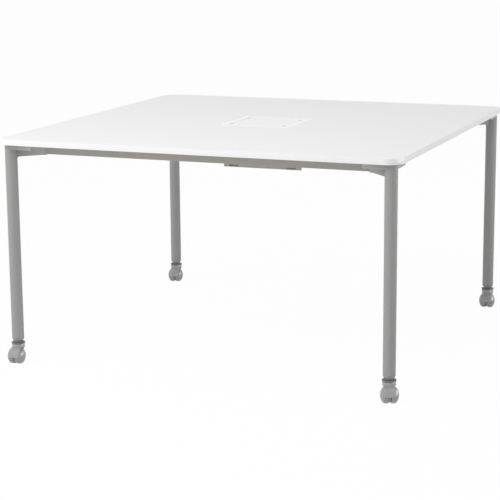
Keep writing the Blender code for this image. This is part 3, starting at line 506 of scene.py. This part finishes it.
# The screws and rivets
# Zinc plated pan-head screws with a cross recess hold the brackets and the tray's straps to the board and
# the beams to the brackets. Flat-headed rivets hold the straps in the tray.
WOOD_SCREWS_ON_BRACKET = ((-0.0605, 0.0064), (0.0064, -0.0605), (-0.052, -0.024), (-0.024, -0.052))
PLATE_Z = 0.6977
STRAP_X = 0.060
STRAP_SCREW_Y = 0.142
STRAP_Z = 0.7002
BEAM_SCREW_ALONG = 0.105
BEAM_INNER_FACE = 0.085
BEAM_MIDDLE_Z = 0.68335
RIVET_Y = 0.022
RIVET_Z = 0.573
WOOD_HEAD = {"radius": 0.0042, "height": 0.0026, "shank": 0.0019, "depth": 0.012, "recess": 0.0012}
BEAM_HEAD = {"radius": 0.0048, "height": 0.0030, "shank": 0.0024, "depth": 0.009, "recess": 0.0014}
RIVET_HEAD = {"radius": 0.0038, "height": 0.0012, "shank": 0.0019, "depth": 0.0022}
# Shares of a head's radius: where its dome starts, half a bar of its cross, and the reach of the cross.
DOME_START, CROSS_BAR, CROSS_REACH = 0.86, 0.13, 0.56
# Shares of a head's height: its upright flank, the level that the cross is cut from, and the dome's foot.
FLANK, CROSS_ABOVE, DOME_FOOT = 0.45, 0.5, 0.72
DOME_STEPS = 10
HEAD_SIDES = 48
TILT_PER_SCREW = 37
STRAP_SCREW_TILT = 0.5


def head_points(radius, height, shank, depth, recess=0.0):
    """A fastener's head on the plane z = 0, domed towards +Z, with its shank below: a profile turned
    about Z, sunk by recess where the point lies in a cross of two bars at the middle."""
    shares = np.linspace(DOME_START, 0, DOME_STEPS)
    heights = height * (DOME_FOOT + (1 - DOME_FOOT) * (1 - shares**2))
    dome = list(zip(radius * shares, heights))
    profile = [(0, -depth), (shank, -depth), (shank, 0), (radius, 0), (radius, height * FLANK)]
    points = turned_points(profile + dome, (0, 0), HEAD_SIDES)
    x, y = np.abs(points[..., 0]), np.abs(points[..., 1])
    in_cross = (np.minimum(x, y) < radius * CROSS_BAR) & (np.maximum(x, y) < radius * CROSS_REACH)
    points[..., 2] -= recess * (in_cross & (points[..., 2] > height * CROSS_ABOVE))
    return points


def set_fasteners(name, heads, material):
    """One piece for all fasteners of a kind: each is head points placed by a 4 by 4 matrix."""
    grids = []
    for points, matrix in heads:
        turn = np.array(matrix)
        grids.append((points @ turn[:3, :3].T + turn[:3, 3], False, True))
    seat(piece_from(name, grids, material), "table", "plated_zinc")


downwards = Matrix.Rotation(math.pi, 4, "X")
wood_head = head_points(**WOOD_HEAD)
beam_head = head_points(**BEAM_HEAD)
rivet_head = head_points(**RIVET_HEAD)
wood_screws, beam_screws = [], []
for corner, (_, _, angle, _) in CORNERS.items():
    at_leg = Matrix.Translation((*LEG_PLACES[corner], 0))
    spin = at_leg @ Matrix.Rotation(math.radians(angle), 4, "Z")
    for index, (x, y) in enumerate(WOOD_SCREWS_ON_BRACKET):
        tilt = Matrix.Rotation(math.radians(TILT_PER_SCREW * index), 4, "Z")
        wood_screws.append((wood_head, spin @ Matrix.Translation((x, y, PLATE_Z)) @ downwards @ tilt))
    facing_y = Matrix.Translation((-BEAM_SCREW_ALONG, -BEAM_INNER_FACE, BEAM_MIDDLE_Z))
    beam_screws.append((beam_head, spin @ facing_y @ Matrix.Rotation(math.pi / 2, 4, "X")))
    facing_x = Matrix.Translation((-BEAM_INNER_FACE, -BEAM_SCREW_ALONG, BEAM_MIDDLE_Z))
    beam_screws.append((beam_head, spin @ facing_x @ Matrix.Rotation(-math.pi / 2, 4, "Y")))
rivets = []
for x in (-STRAP_X, STRAP_X):
    for side in (-1, 1):
        place = Matrix.Translation((x, side * STRAP_SCREW_Y, STRAP_Z))
        tilt = Matrix.Rotation(STRAP_SCREW_TILT, 4, "Z")
        wood_screws.append((wood_head, place @ downwards @ tilt))
        rivets.append((rivet_head, Matrix.Translation((x, side * RIVET_Y, RIVET_Z))))
set_fasteners("wood_screws", wood_screws, plated_zinc)
set_fasteners("beam_screws", beam_screws, plated_zinc)
set_fasteners("rivets", rivets, plated_zinc)

# The caster sockets
# A turned socket closes the lower end of each leg, flares in to a narrow neck and takes the caster's
# stem. It is powder coated with the leg.
SOCKET_LOW = 0.0675
NECK_RADIUS = 0.0115
NECK_TOP = 0.0717
SOCKET_SHOULDER = 0.0817
STEM_BORE = 0.0058
SOCKET_BORE_TOP = 0.1078
SOCKET_TOP = 0.118
SOCKET_CHAMFER = 0.0003
NECK_CHAMFER = 0.0004
INSERT_RADIUS = 0.01715
INSERT_TAPER = 0.001


def flare(low_radius, high_radius, low, high, steps=10):
    """Points (radius, z) of a quarter ellipse from a neck up and out to a rim."""
    angle = np.linspace(0, math.pi / 2, steps + 1)
    radius = low_radius + (high_radius - low_radius) * np.sin(angle)
    height = high - (high - low) * np.cos(angle)
    return list(zip(radius, height))


socket_section = [
    (0, SOCKET_BORE_TOP),
    (STEM_BORE, SOCKET_BORE_TOP),
    (STEM_BORE, SOCKET_LOW),
    (NECK_RADIUS - NECK_CHAMFER, SOCKET_LOW),
    (NECK_RADIUS, SOCKET_LOW + NECK_CHAMFER),
    *flare(NECK_RADIUS, LEG_RADIUS, NECK_TOP, SOCKET_SHOULDER - 2 * SOCKET_CHAMFER),
    (LEG_RADIUS, SOCKET_SHOULDER - SOCKET_CHAMFER),
    (LEG_RADIUS - SOCKET_CHAMFER, SOCKET_SHOULDER),
    (INSERT_RADIUS, SOCKET_SHOULDER),
    (INSERT_RADIUS - INSERT_TAPER, SOCKET_TOP),
    (0, SOCKET_TOP),
]
for corner, centre in LEG_PLACES.items():
    points = turned_points(socket_section, centre)
    socket = piece_from(f"{corner}_socket", [(points, False, True)], powder_coat)
    seat(socket, "table", "grey_paint", f"socket_{corner}")

# The bearing rings
# A dark plastic ring between socket and caster keeps the swivel bearing clean. It stays with the leg.
RING_LOW, RING_HIGH = 0.0630, 0.0672
RING_RADIUS = 0.0215
RING_ROUND = 0.0009
RING_STEPS = 6
dark_plastic = finish(
    "dark_plastic", (0.155, 0.154, 0.151), 0.55, cloud=(60.0, 0.08), grain=(1800.0, 0.00003)
)
ring_section = [(STEM_BORE, RING_LOW), (RING_RADIUS - RING_ROUND, RING_LOW)]
for start, height in ((-90, RING_LOW + RING_ROUND), (0, RING_HIGH - RING_ROUND)):
    for angle in np.radians(np.linspace(start, start + 90, RING_STEPS)):
        radius = RING_RADIUS - RING_ROUND * (1 - math.cos(angle))
        ring_section.append((radius, height + RING_ROUND * math.sin(angle)))
ring_section.append((STEM_BORE, RING_HIGH))
for corner, centre in LEG_PLACES.items():
    points = turned_points(ring_section, centre)
    ring = piece_from(f"{corner}_bearing_ring", [(points, True, True)], dark_plastic)
    seat(ring, "table", "dark_plastic", f"bearing_ring_{corner}")

# The caster hoods
# A moulded nylon body swivels under each leg: a half drum over the wheels, a round web between them that
# holds the axle, and a shoulder that rises to a round collar with a blind hole for the stem.
TRAIL = 0.016
AXLE_Z = 0.025
HOOD_HALF_WIDTH = 0.017
HOOD_RADIUS = 0.0271
HOOD_INSIDE = 0.0259
HOOD_SIDES = 96
WALL_MIDDLE = 0.0265
DRUM_EDGE_X, DRUM_EDGE_RADIUS = 0.0025, 0.0011
DRUM_STEPS = 6
DRUM_LIP = 0.0002
DRUM_FRONT, DRUM_BACK = -2.1, 182.1
WEB_HALF = 0.0028
WEB_RADIUS = 0.0225
WEB_CHAMFER = 0.0006
WEB_RELIEF = 0.0003
AXLE_HOLE = 0.0033
SHOULDER_HALF_X, SHOULDER_HALF_Y = 0.0145, 0.0221
SHOULDER_LOW, SHOULDER_HIGH = 0.0388, 0.0510
SHOULDER_TRIES = 600
PAST_NECK = 1.2
CAP_RINGS = 7
COLLAR_RADIUS = 0.0205
COLLAR_NECK = 0.0197
COLLAR_LOW, COLLAR_HIGH = 0.0500, 0.0627
# The rings of the collar's lower face as shares of its radius, then its rounded foot as (inset, rise).
COLLAR_CAP = (0, 0.25, 0.5, 0.75, 0.9)
COLLAR_FOOT = ((0.0005, 0.0), (0.0001, 0.0002), (0.0, 0.0006))
STEM_FLOOR = 0.0514
# A rounded edge runs from ROUND before its corner through BEND off it on both sides to ROUND past it.
ROUND, BEND = 0.0010, 0.0003
caster_nylon = finish(
    "caster_nylon", (0.32, 0.32, 0.32), 0.20, shine=0.9, cloud=(70.0, 0.03), grain=(2200.0, 0.00001)
)


def capped(points):
    """Closes both ends of a tube of points with a pole at the middle of its first and last row."""
    first = np.broadcast_to(points[0].mean(axis=0), points[0].shape)
    last = np.broadcast_to(points[-1].mean(axis=0), points[-1].shape)
    return np.concatenate((first[None], points, last[None]))


def drum_points(steps=72):
    """The half drum and its web: a T-shaped section in (x, radius from the axle), its outer edges
    quarter ellipses, carried round the axle from just below the front to just below the back."""
    turn = np.linspace(0, math.pi / 2, DRUM_STEPS)
    edge_x = HOOD_HALF_WIDTH - DRUM_EDGE_X * (1 - np.cos(turn))
    edge_radius = HOOD_RADIUS - DRUM_EDGE_RADIUS * (1 - np.sin(turn))
    inside = [
        (WEB_HALF, AXLE_HOLE),
        (WEB_HALF, HOOD_INSIDE - ROUND),
        (WEB_HALF + BEND, HOOD_INSIDE - BEND),
        (WEB_HALF + ROUND, HOOD_INSIDE),
        (HOOD_HALF_WIDTH - DRUM_LIP, HOOD_INSIDE),
    ]
    half = np.concatenate((np.array(inside), np.stack((edge_x, edge_radius), axis=-1)))
    section = np.concatenate((half, half[::-1] * (-1, 1)))
    angle = np.radians(np.linspace(DRUM_FRONT, DRUM_BACK, steps + 1))[:, None]
    x = np.broadcast_to(section[:, 0], (steps + 1, len(section)))
    y = -TRAIL + section[:, 1] * np.cos(angle)
    z = AXLE_Z + section[:, 1] * np.sin(angle)
    return capped(np.stack((x, y, z), axis=-1))


def wall_height(y):
    """Height of the middle of the drum's wall above a place y: a circle about the axle."""
    return AXLE_Z + np.sqrt(np.maximum(WALL_MIDDLE**2 - (y + TRAIL) ** 2, 0))


def shoulder_place(share, angle):
    """The shoulder's surface: level ellipses whose middle, width and depth ease from the drum to the
    neck by 3 s squared minus 2 s cubed, with s the share of the rise, and stay the neck's above it."""
    ease = np.clip(share, 0, 1) ** 2 * (3 - 2 * np.clip(share, 0, 1))
    half_x = SHOULDER_HALF_X + ease * (COLLAR_NECK - SHOULDER_HALF_X)
    half_y = SHOULDER_HALF_Y + ease * (COLLAR_NECK - SHOULDER_HALF_Y)
    x = half_x * np.cos(angle)
    y = -TRAIL * (1 - ease) + half_y * np.sin(angle)
    height = SHOULDER_LOW + share * (SHOULDER_HIGH - SHOULDER_LOW)
    return np.stack((x, y, np.broadcast_to(height, x.shape)), axis=-1)


def shoulder_points(steps=24):
    """The shoulder from where each line up its surface leaves the drum's wall, closed below by a cap
    that follows the wall and above by a level one inside the collar."""
    angle = np.arange(HOOD_SIDES) * 2 * math.pi / HOOD_SIDES
    share = np.linspace(0, PAST_NECK, SHOULDER_TRIES)[:, None]
    tried = shoulder_place(share, angle)
    sunk = tried[..., 2] < wall_height(tried[..., 1])
    first_clear = np.minimum(SHOULDER_TRIES - np.argmax(sunk[::-1], axis=0), SHOULDER_TRIES - 1)
    start = share[first_clear * sunk.any(axis=0), 0]
    rise = np.linspace(0, 1, steps + 1)[:, None]
    side = shoulder_place(start + rise * (PAST_NECK - start), angle)
    middle = side[0].mean(axis=0)
    cap = middle + np.linspace(0, 1, CAP_RINGS + 1)[:-1, None, None] * (side[0] - middle)
    cap[..., 2] = wall_height(cap[..., 1])
    top = np.broadcast_to(side[-1].mean(axis=0), side[-1].shape)
    return np.concatenate((cap, side, top[None]))


def along_x(points, centre):
    """Turns points made about Z so that their axis lies along X through centre."""
    return np.stack((points[..., 2], points[..., 0], points[..., 1]), axis=-1) + centre


collar_section = [
    *((COLLAR_RADIUS * share, COLLAR_LOW) for share in COLLAR_CAP),
    *((COLLAR_RADIUS - inset, COLLAR_LOW + rise) for inset, rise in COLLAR_FOOT),
    (COLLAR_RADIUS, COLLAR_HIGH - ROUND),
    (COLLAR_RADIUS - BEND, COLLAR_HIGH - BEND),
    (COLLAR_RADIUS - ROUND, COLLAR_HIGH),
    (STEM_BORE, COLLAR_HIGH),
    (STEM_BORE, STEM_FLOOR),
    (0, STEM_FLOOR),
]
collar = turned_points(collar_section, (0, 0), HOOD_SIDES)
collar[..., 2] = np.maximum(collar[..., 2], wall_height(collar[..., 1]))
web_face = WEB_HALF - WEB_RELIEF
web_section = [
    (AXLE_HOLE, -web_face),
    (WEB_RADIUS - WEB_CHAMFER, -web_face),
    (WEB_RADIUS, -web_face + WEB_CHAMFER),
]
web_section += [(radius, -x) for radius, x in web_section[::-1]]
web = along_x(turned_points(web_section, (0, 0), HOOD_SIDES), (0, -TRAIL, AXLE_Z))
hood_shells = [
    (drum_points(), False, True),
    (shoulder_points(), False, True),
    (collar, False, True),
    (web, True, True),
]


def standing(grids, corner):
    """Caster points carried to their leg and turned to the caster's heading."""
    heading = CORNERS[corner][-1]
    spin = np.array(Matrix.Rotation(math.radians(heading), 3, "Z"))
    place = np.array((*LEG_PLACES[corner], 0))
    return [(points @ spin.T + place, rows, columns) for points, rows, columns in grids]


for corner in CORNERS:
    hood = piece_from(f"{corner}_hood", standing(hood_shells, corner), caster_nylon)
    seat(hood, f"swivel_{corner}", "caster_nylon", f"caster_hood_{corner}")

# The wheels
# Two hard nylon wheels on each axle, with a flat tread inside and a domed outer face. A fine groove runs
# round where the dome meets the tread.
WHEEL_RADIUS = 0.025
WHEEL_INNER = 0.004
TREAD_END = 0.0125
DOME_DEPTH = 0.0155
DOME_START_ANGLE = 9
HUB_RADIUS = 0.008
RIM_INSIDE = 0.0215
DISH_DEPTH, DISH_DRAFT = 0.0025, 0.0005
AXLE_END = 0.0203
WHEEL_SIDES = 72
# Points of the tread's inner edge and of the groove: in from the wheel's radius, and out along the axle.
TREAD_EDGE = ((0.0008, 0.0), (0.0002, 0.0004), (0.0, 0.0012))
GROOVE = ((0.0, 0.0), (0.0001, 0.0008), (0.0006, 0.0010), (0.0006, 0.0014), (0.0002, 0.0016))
wheel_nylon = finish(
    "wheel_nylon", (0.29, 0.29, 0.29), 0.24, shine=0.9, cloud=(90.0, 0.05), grain=(1800.0, 0.00001)
)


def wheel_profile(steps=22):
    """Points (radius, distance from the middle of the axle): blind bore, hub, dished inner face, tread,
    groove, and the dome, an ellipse whose radius is the wheel's cosine and whose depth is its sine."""
    inside = [
        (0, AXLE_END),
        (AXLE_HOLE, AXLE_END),
        (AXLE_HOLE, WHEEL_INNER),
        (HUB_RADIUS, WHEEL_INNER),
        (HUB_RADIUS + DISH_DRAFT, WHEEL_INNER + DISH_DEPTH),
        (RIM_INSIDE, WHEEL_INNER + DISH_DEPTH),
        (RIM_INSIDE + DISH_DRAFT, WHEEL_INNER),
        *((WHEEL_RADIUS - inset, WHEEL_INNER + along) for inset, along in TREAD_EDGE),
        *((WHEEL_RADIUS - inset, TREAD_END + along) for inset, along in GROOVE),
    ]
    angle = np.linspace(math.radians(DOME_START_ANGLE), math.pi / 2, steps + 1)
    dome = np.stack((WHEEL_RADIUS * np.cos(angle), TREAD_END + DOME_DEPTH * np.sin(angle)), axis=-1)
    dome[-1, 0] = 0
    return np.concatenate((np.array(inside), dome))


def wheel_points(side):
    """A wheel on one side of the web: its profile turned about the axle, with x times the side."""
    points = along_x(turned_points(wheel_profile(), (0, 0), WHEEL_SIDES), (0, 0, 0))
    return points * (side, 1, 1) + (0, -TRAIL, AXLE_Z)


for corner in CORNERS:
    for side_name, side in (("left", -1), ("right", 1)):
        grids = standing([(wheel_points(side), False, True)], corner)
        wheel = piece_from(f"{corner}_{side_name}_wheel", grids, wheel_nylon)
        seat(wheel, f"roller_{side_name}_{corner}", "caster_nylon", f"wheel_{side_name}_{corner}")

# The cable port
# A white moulded frame lies flush in the top. Its lid swings up about two short pins at the back, and has
# four notches at its sides that let cables out when it is shut.
PORT_EDGE, RAIL_EDGE = 0.0004, 0.0002
# Painted highlight: the frame's plastic is drawn paler than the lid's, standing in for the light on its
# rims.
frame_plastic_painted_highlight = finish(
    "frame_plastic_painted_highlight", (0.92, 0.925, 0.92), 0.30, cloud=(40.0, 0.01), grain=(1500.0, 0.00002), gloss=0.03
)
white_plastic = finish(
    "white_plastic", (0.88, 0.885, 0.885), 0.36, cloud=(40.0, 0.01), grain=(1500.0, 0.00002), gloss=0.03
)
surround = softened("port_surround", "port_frame", frame_plastic_painted_highlight, PORT_EDGE)
seat(surround, "table", "white_plastic", "port_frame")
seat(softened("port_flap", "port_lid", white_plastic, PORT_EDGE), "lid", "white_plastic", "port_lid")
hinge_rail = softened("hinge_rail", "lid_hinge_rail", white_plastic, RAIL_EDGE)
seat(hinge_rail, "lid", "white_plastic", "lid_hinge_rail")
for side in ("left", "right"):
    dressed(f"lid_hinge_pin_{side}", plated_zinc)

# The cable tray
# A trough folded from 1.2 mm steel sheet hangs on two bent straps under the port. Its floor narrows to
# the back and has low lips at its slanted ends. A slot at either end of its front wall takes a cable tie.
SHEET_EDGE = 0.0004
TRAY_FLOOR = 0.5711
LIP_FRONT, LIP_BACK = (0.1364, -0.0374), (0.0990, 0.0384)
LIP_RISE = 0.0080
LIP_THICKNESS = 0.0012
LIP_ROUND = 0.0004
LIP_STEPS = 4
# Painted light: warmer and paler than the legs' coat, standing in for the warm light bounced up under the
# board.
sheet_coat_painted_light = finish(
    "sheet_coat_painted_light", (0.450, 0.438, 0.406), 0.46, shine=0.25, cloud=(35.0, 0.03), grain=(1500.0, 0.00004)
)


def lip_points(side):
    """A strip that stands on one slanted end of the tray's floor: a rounded upright section, carried
    from the front wall to the back wall."""
    front, back = (np.array((side * x, y)) for x, y in (LIP_FRONT, LIP_BACK))
    along = (back - front) / np.linalg.norm(back - front)
    out = np.array((along[1], -along[0]))
    section = rounded_loop(LIP_THICKNESS / 2, LIP_RISE / 2, LIP_ROUND, 0, LIP_STEPS)
    height = TRAY_FLOOR + LIP_RISE / 2 + section[:, 1]
    ends = [np.column_stack((end + section[:, :1] * out, height)) for end in (front, back)]
    return capped(np.stack(ends))


lips = piece_from("tray_end_lips", [(lip_points(side), False, True) for side in (-1, 1)], sheet_coat_painted_light)
seat(lips, "table", "grey_sheet")
seat(softened("tray", "cable_tray", sheet_coat_painted_light, SHEET_EDGE), "table", "grey_sheet", "cable_tray")
for side in ("left", "right"):
    strap = softened(f"{side}_strap", f"tray_hanger_{side}", sheet_coat_painted_light, SHEET_EDGE)
    seat(strap, "table", "grey_sheet", f"tray_hanger_{side}")

# The finished picture
# The colours are shown as they are written.
bpy.context.scene.view_settings.view_transform = "Standard"
bpy.context.view_layer.update()
